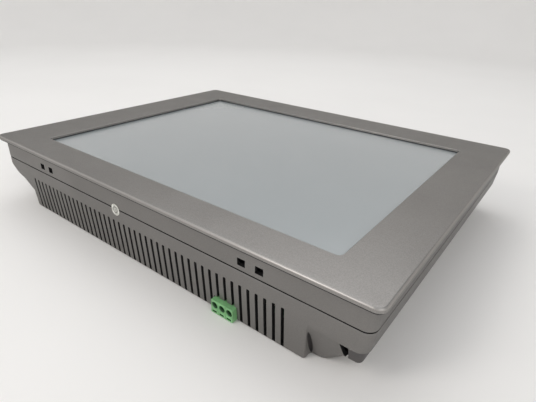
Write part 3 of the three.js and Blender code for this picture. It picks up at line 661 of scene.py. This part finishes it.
def scoop_frame(side):
    """Middle of a scoop and the turn that lays it along the leaning wall."""
    end_y = BODY_H / 2 - END_INSET_Y * (1 - SCOOP["z"] / BAND_BOTTOM)
    turn = Matrix.Rotation(-side * math.atan2(END_INSET_Y, BAND_BOTTOM), 3, "X")
    return Vector((SCOOP["x"], side * end_y, SCOOP["z"])), turn


def scoop(side):
    """A rounded hollow in the corner between the box's long wall and the right end."""
    middle, turn = scoop_frame(side)

    def place(a, b, h):
        return middle + turn @ Vector((SCOOP["rx"] * a, SCOOP["ry"] * b, SCOOP["rz"] * h))

    angles = [math.radians(a) for a in range(3, 180, 6)]
    return turned("scoop", [(math.sin(a), -math.cos(a)) for a in angles], place, 32)


def notch(side):
    """A rounded cut under the start of the lip, on one long side."""
    half = 3.5 * MM
    y = side * (BODY_H / 2 - half)
    outline = [(LIP_START_X + x * MM, LIP_TOP + z * MM) for x, z in NOTCH]
    return loft("notch", [[Vector((x, y + dy, z)) for x, z in outline] for dy in (-half, half)])


def vent_slots():
    """Cutters for the upright slots in both long walls."""
    s = SLOTS
    half, sunk, radius = 3 * MM, 1.6 * MM, 0.55 * MM
    cutters = []
    for i in range(s["count"]):
        x = s["first"] + i * s["pitch"]
        for side in (-1, 1):
            y = side * (BODY_H / 2 - sunk)
            cutters.append(block(x - s["w"] / 2, x + s["w"] / 2, y - half, y + half,
                                 s["bottom"], s["top"], radius, 3, "y"))
    return cutters


def pocket_walls():
    """A block that the connector pocket is then cut from."""
    p = POCKET
    w = p["wall"]
    bottom = 0.5 * MM
    return block(p["x0"] - w, p["x1"] + w, p["y0"] - w, p["y1"] + w, bottom, p["top"] + w, p["r"] + w, 5)


def tongue():
    """The rim that stands up inside the bezel's skirt and closes the seam."""
    clear, thick, shelf_inset = WALL + 0.3 * MM, 1.5 * MM, 1 * MM
    root, shelf_top, tip = COVER_TOP - 4 * MM, COVER_TOP - 1.5 * MM, COVER_TOP + 3 * MM
    rings = [body_ring(clear + thick, root), body_ring(clear + thick, tip), body_ring(clear, tip),
             body_ring(clear, shelf_top), body_ring(shelf_inset, shelf_top), body_ring(shelf_inset, root)]
    return loft("tongue", rings, cyclic=True)


def pocket_cutter():
    p = POCKET
    return block(p["x0"], p["x1"], p["y0"], p["y1"], -OVERCUT, p["top"], p["r"], 4)


def plug_openings():
    """The cut-out round the plug's head, and the wider one round the header behind it."""
    gap = 0.4 * MM
    back = PLUG_LO.y + 8.1 * MM
    half_header, header_back, header_top = 9.8 * MM, PLUG_HI.y + 4.3 * MM, PLUG_HI.z + 1.9 * MM
    return [
        block(PLUG_LO.x - gap, PLUG_HI.x + gap, -BODY_H, back,
              -OVERCUT, PLUG_HI.z + gap, 0.5 * MM, 3, "y"),
        block(POLES[1] - half_header, POLES[1] + half_header, back - 0.1 * MM, header_back,
              -OVERCUT, header_top, 0.6 * MM, 3, "y"),
    ]


def screw_seats():
    mouth, seat, hole, depth = 3.6 * MM, 3.4 * MM, 1.8 * MM, 1 * MM
    profile = [(mouth, -OVERCUT), (mouth, 0), (seat, 0.2 * MM), (seat, depth),
               (hole, depth), (hole, FLOOR + OVERCUT)]
    return [turned("screw_seat", profile, upright(x * MM, y * MM), 28) for x, y in PILLARS]


def label_recess():
    gap = 0.4 * MM
    return block(LABEL_LO.x - gap, LABEL_HI.x + gap, LABEL_LO.y - gap, LABEL_HI.y + gap,
                 -OVERCUT, gap, 3.4 * MM, 6)


def port_cutters():
    p = POCKET
    clear, radius = 0.25 * MM, 0.4 * MM
    return [block((x - half) * MM, (x + half) * MM, p["y1"] - OVERCUT, p["y1"] + p["wall"] + OVERCUT,
                  PORT_TOP - height * MM, PORT_TOP + clear, radius, 3, "y") for x, half, height in PORTS]


def depth_in(point):
    """How far a point lies behind the long outer wall at its height."""
    lean = eased_lean(max(0.0, (BAND_BOTTOM - point.z) / BAND_BOTTOM))
    return BODY_H / 2 - BOX_DRAFT * lean - abs(point.y)


def in_box(point):
    """Between the box's two short ends, clear of its rounded corners."""
    return BOX_LEFT + 2 * MM < point.x < BOX_RIGHT - 1.5 * MM


def in_pocket(point):
    p = POCKET
    return p["y0"] - MM < point.y < p["y1"] + MM and p["x0"] - MM < point.x < p["x1"] + MM


def inside_cover(centre, normal):
    """Slot sides, notch sides and the inside of the shell, which get painted shade."""
    if in_box(centre) and centre.z > 0.3 * MM and depth_in(centre) > PAINT_SKIN:
        return not in_pocket(centre)
    in_notch = (LIP_START_X - MM < centre.x < LIP_START_X + 4.2 * MM
                and LIP_BOTTOM - MM < centre.z < LIP_TOP + 0.1 * MM)
    return in_notch and (abs(normal.y) < 0.5 or depth_in(centre) > 4 * MM)


def in_scoop(point):
    """Near the surface of the ellipsoid that a scoop is cut with."""
    middle, turn = scoop_frame(1 if point.y > 0 else -1)
    local = turn.inverted() @ (point - middle)
    share = Vector((local.x / SCOOP["rx"], local.y / SCOOP["ry"], local.z / SCOOP["rz"]))
    return 0.85 < share.length_squared < 1.02


def on_lip(point):
    """On the outer side of the lip, under its top edge."""
    outer = max(abs(point.y) / (BODY_H / 2 - 4 * MM), point.x / (BODY_W / 2 - 6 * MM))
    in_height = LIP_BOTTOM - 0.1 * MM < point.z < LIP_TOP - 0.05 * MM
    return in_height and outer > 1 and point.x > LIP_START_X + 3.5 * MM


# the lip's dark paint is partly painted shade, and the dark in the scoops is painted shade
def on_lip_paint_and_scoop_shade(centre, normal):
    return on_lip(centre) or in_scoop(centre)


def rear_cover():
    shell = cover_outside()
    boolean(shell, [lip_solid()], "UNION")
    boolean(shell, [cover_hollow()], "DIFFERENCE")
    boolean(shell, [tongue()], "UNION")
    boolean(shell, [pocket_walls()], "UNION")
    boolean(shell, [notch(-1), notch(1), scoop(-1), scoop(1)], "DIFFERENCE")
    for cutter in [pocket_cutter(), *plug_openings(), *screw_seats(), label_recess()]:
        boolean(shell, [cutter], "DIFFERENCE")
    boolean(shell, port_cutters(), "DIFFERENCE")
    boolean(shell, vent_slots(), "DIFFERENCE")
    shell.name = "cover_rear"
    return shell


cover = finished(smooth(rear_cover()), "panel", "casting", "rear_cover", material=PAINT_REAR_AND_SHADE)
# near-black on the slot and notch sides and the shell's inside is painted shade
repaint(cover, INSIDE_SHADE, inside_cover)
# the lip gets a dark paint that is partly painted shade; the scoops' darkness is painted shade
repaint(cover, PAINT_LIP_AND_SHADE, on_lip_paint_and_scoop_shade)


# ---- screen ----
def touch_screen():
    w, h = TOUCH_HI.x - TOUCH_LO.x, TOUCH_HI.y - TOUCH_LO.y
    cx, cy = (TOUCH_HI.x + TOUCH_LO.x) / 2, (TOUCH_HI.y + TOUCH_LO.y) / 2
    corner, edge = 3 * MM, 0.25 * MM

    def ring(inset, z):
        return at(rounded(w - 2 * inset, h - 2 * inset, corner - inset, cx, cy), z)

    rings = [ring(inset, TOUCH_HI.z - drop) for inset, drop in quarter(edge, 3)]
    rings += [ring(inset, TOUCH_LO.z + drop) for inset, drop in reversed(quarter(edge, 3))]
    return loft("screen_touch", rings)


finished(smooth(touch_screen()), "panel", "touch", "touch_panel")


# ---- supply plug ----
def plug_block(y0, y1, z0, z1, edge):
    """A bar along Y with rounded edges at both ends."""
    x0, x1 = PLUG_LO.x, PLUG_HI.x
    cx, cz = (x0 + x1) / 2, (z0 + z1) / 2
    corner, most_shrunk = 0.45 * MM, 0.3 * MM

    def ring(y, inset):
        radius = corner - min(inset, most_shrunk)
        outline = rounded(x1 - x0 - 2 * inset, z1 - z0 - 2 * inset, radius, cx, cz, 4)
        return [Vector((x, y, z)) for x, z in outline]

    rings = [ring(y0 + drop, inset) for inset, drop in quarter(edge, 3)]
    rings += [ring(y1 - drop, inset) for inset, drop in reversed(quarter(edge, 3))]
    return loft("plug_block", rings)


def pole_cutters(x):
    """One pole's funnelled wire entry, screw hole, jaw space, test slot and contact hole."""
    lo, hi = PLUG_LO, PLUG_HI
    wire_z = hi.z - 3.2 * MM
    screw_y = lo.y + 5.5 * MM
    jaw_z = lo.z + 2.9 * MM
    screw_r, half_jaw, half_slot, half_pin = 1.9 * MM, 1.8 * MM, 1.5 * MM, 0.9 * MM
    mouth, throat = 2.2 * MM, 1.65 * MM
    funnel = [(mouth, -OVERCUT), (mouth, 0), (2.05 * MM, 0.5 * MM), (throat, 1.1 * MM), (throat, 10.5 * MM)]
    return [
        turned("entry", funnel, lambda a, b, h: Vector((x + a, lo.y + h, wire_z + b)), 28),
        turned("screw_hole", [(screw_r, lo.z - OVERCUT), (screw_r, jaw_z)], upright(x, screw_y), 24),
        block(x - half_jaw, x + half_jaw, screw_y - 2.1 * MM, screw_y + 2.1 * MM,
              jaw_z - 0.2 * MM, jaw_z + 3.1 * MM, 0.3 * MM, 3),
        block(x - half_slot, x + half_slot, lo.y - OVERCUT, lo.y + 1.4 * MM,
              lo.z + 0.9 * MM, lo.z + 1.9 * MM, 0.25 * MM, 3, "y"),
        block(x - half_pin, x + half_pin, hi.y - 4.6 * MM, hi.y + OVERCUT,
              4.6 * MM, 6.4 * MM, 0.15 * MM, 2, "y"),
    ]


def pole_groove(x):
    """A shallow line down the plug's face between two poles."""
    half, depth = 0.12 * MM, 0.25 * MM
    return block(x - half, x + half, PLUG_LO.y - OVERCUT, PLUG_LO.y + depth,
                 PLUG_LO.z - OVERCUT, PLUG_HI.z + OVERCUT, 0, 1, "y")


def supply_plug():
    """A deep head and a flatter body behind it, cut for three poles side by side."""
    lo, hi = PLUG_LO, PLUG_HI
    head_back, overlap, body_bottom = lo.y + 8.7 * MM, 1 * MM, 2.3 * MM
    plug = plug_block(lo.y, head_back, lo.z, hi.z, 0.25 * MM)
    body = plug_block(head_back - overlap, hi.y, body_bottom, hi.z - 0.01 * MM, 0.2 * MM)
    boolean(plug, [body], "UNION")
    for x in POLES:
        for cutter in pole_cutters(x):
            boolean(plug, [cutter], "DIFFERENCE")
    for x in ((POLES[0] + POLES[1]) / 2, (POLES[1] + POLES[2]) / 2):
        boolean(plug, [pole_groove(x)], "DIFFERENCE")
    plug.name = "supply_plug"
    return plug


def inside_plug(centre, normal):
    """Cut faces that lie away from the plug's outer walls; they get painted shade."""
    skin, face = 0.3 * MM, 0.6 * MM
    return (centre.y > PLUG_LO.y + face and PLUG_LO.x + skin < centre.x < PLUG_HI.x - skin
            and PLUG_LO.z + skin < centre.z < PLUG_HI.z - skin)


plug_piece = finished(smooth(supply_plug()), "plug", "plug", "terminal_plug")
# the darker green in the plug's cavities is painted shade
repaint(plug_piece, PLUG_SHADE, inside_plug)


# ---- seal sticker ----
def seal():
    """A round film seal over the seam: a raised rim and a faint pressed ring."""
    r, t = SEAL_R, SEAL_HI.y - SEAL_LO.y
    profile = [
        (r - 0.1 * MM, 0), (r, 0.08 * MM), (r - 0.05 * MM, 0.8 * t), (r - 0.3 * MM, t),
        (r - 0.6 * MM, 0.96 * t), (0.62 * r, 0.7 * t), (0.56 * r, 0.62 * t), (0.5 * r, 0.7 * t),
        (0.34 * r, 0.78 * t), (0.28 * r, 0.98 * t), (0.16 * r, t), (0.1 * r, 0.7 * t), (0.02 * r, 0.66 * t),
    ]

    def place(a, b, h):
        return Vector((SEAL_MIDDLE.x + a, SEAL_HI.y - h, SEAL_MIDDLE.z + b))

    return turned("seal_disc", profile, place, 56)


def on_seal_shaded_rings(centre, normal):
    """The pressed ring and the middle of the sticker, by distance as a share of its radius; these get painted
    shade.
    """
    share = math.hypot(centre.x - SEAL_MIDDLE.x, centre.z - SEAL_MIDDLE.z) / SEAL_R
    return 0.32 < share < 0.68 or share < 0.15


seal_piece = finished(smooth(seal(), 40), "panel", "sticker", "seal_sticker")
# the darker film on the sticker's pressed ring and middle is painted shade
repaint(seal_piece, SEAL_RING_SHADE, on_seal_shaded_rings)


# ---- the CAD nodes that stay get edges and finishes ----
SLOT_OF = {row["node"]: row["material_slot"] for row in frame["record"]["subparts"]}
for name, node in sorted(frame["nodes"].items()):
    if node.hide_render:
        continue
    node.data.materials.clear()
    node.data.materials.append(LOOKS[SLOT_OF[name]])
    merge = node.modifiers.new("merge", "WELD")
    merge.merge_threshold = 1e-6
    edged(node, SMALL_EDGE)


# ---- stage, light and camera ----
def studio():
    """A pale bowl: flat floor that sweeps up into a wall all round."""
    floor_r, sweep, height, steps, count = 1.15, 0.55, 1.3, 16, 96
    profile = [(0.002, 0.0), (0.4, 0.0), (0.8, 0.0), (floor_r, 0.0)]
    for k in range(1, steps + 1):
        a = math.radians(90 * k / steps)
        profile.append((floor_r + sweep * math.sin(a), sweep * (1 - math.cos(a))))
    profile.append((floor_r + sweep, height))
    turns = [2 * math.pi * k / count for k in range(count)]
    verts = [Vector((radius * math.cos(a), radius * math.sin(a), z)) for radius, z in profile for a in turns]
    faces = [tuple(range(count))]
    for low in range(0, len(verts) - count, count):
        for k in range(count):
            m = (k + 1) % count
            faces.append((low + k, low + m, low + count + m, low + count + k))
    bowl = mesh_object("studio_bowl", verts, faces)
    for polygon in bowl.data.polygons:
        polygon.use_smooth = True
    n = Nodes("studio_white")
    cloud = n.ramp(n.noise(5, 3), 0.0, 1.0)
    tone = n.mix(cloud, (0.895, 0.88, 0.86), (0.91, 0.895, 0.875))
    bowl.data.materials.append(n.set(Base_Color=tone, Roughness=0.9))


def soft_light(name, place, aim, size, power, colour=(1, 1, 1)):
    """A rectangular area light at place, turned towards aim."""
    data = bpy.data.lights.new(name, "AREA")
    data.shape = "RECTANGLE"
    data.size, data.size_y = size
    data.energy = power
    data.color = colour
    lamp = bpy.data.objects.new(name, data)
    bpy.context.scene.collection.objects.link(lamp)
    lamp.location = place
    lamp.rotation_euler = (Vector(aim) - Vector(place)).to_track_quat("-Z", "Y").to_euler()


studio()
soft_light("top_light", (-0.36, 0.45, 1.2), (0.0, 0.0, 0.0), (1.3, 1.2), 5.7)
soft_light("side_light", (-1.2, -0.35, 0.8), (-0.3, -0.1, 0.0), (0.8, 0.8), 0.9)
soft_light("fill_light", (0.9, -0.5, 0.8), (0.05, 0.0, 0.0), (1.1, 1.1), 3.4)
soft_light("edge_light", (-0.3, -0.85, 0.72), (0.05, -0.1, 0.04), (0.3, 0.5), 2.9, (1.0, 0.97, 0.94))

world = bpy.data.worlds.new("studio_world")
world.use_nodes = True
world.node_tree.nodes["Background"].inputs["Color"].default_value = (0.95, 0.97, 1.0, 1)
world.node_tree.nodes["Background"].inputs["Strength"].default_value = 0.46
bpy.context.scene.world = world
bpy.context.scene.view_settings.view_transform = "Standard"

CAMERA_PLACE = (0.19564, -0.2436, DEPTH + 0.10287)
CAMERA_TURN = (63.764, -1.61, 37.476)  # degrees round X, Y and Z
camera_data = bpy.data.cameras.new("camera")
camera_data.sensor_width = 36
camera_data.lens = 28.14
camera_data.clip_start = 0.01
camera = bpy.data.objects.new("camera", camera_data)
bpy.context.scene.collection.objects.link(camera)
turn = Euler([math.radians(a) for a in CAMERA_TURN])
camera.matrix_world = Matrix.Translation(CAMERA_PLACE) @ turn.to_matrix().to_4x4()
bpy.context.scene.camera = camera
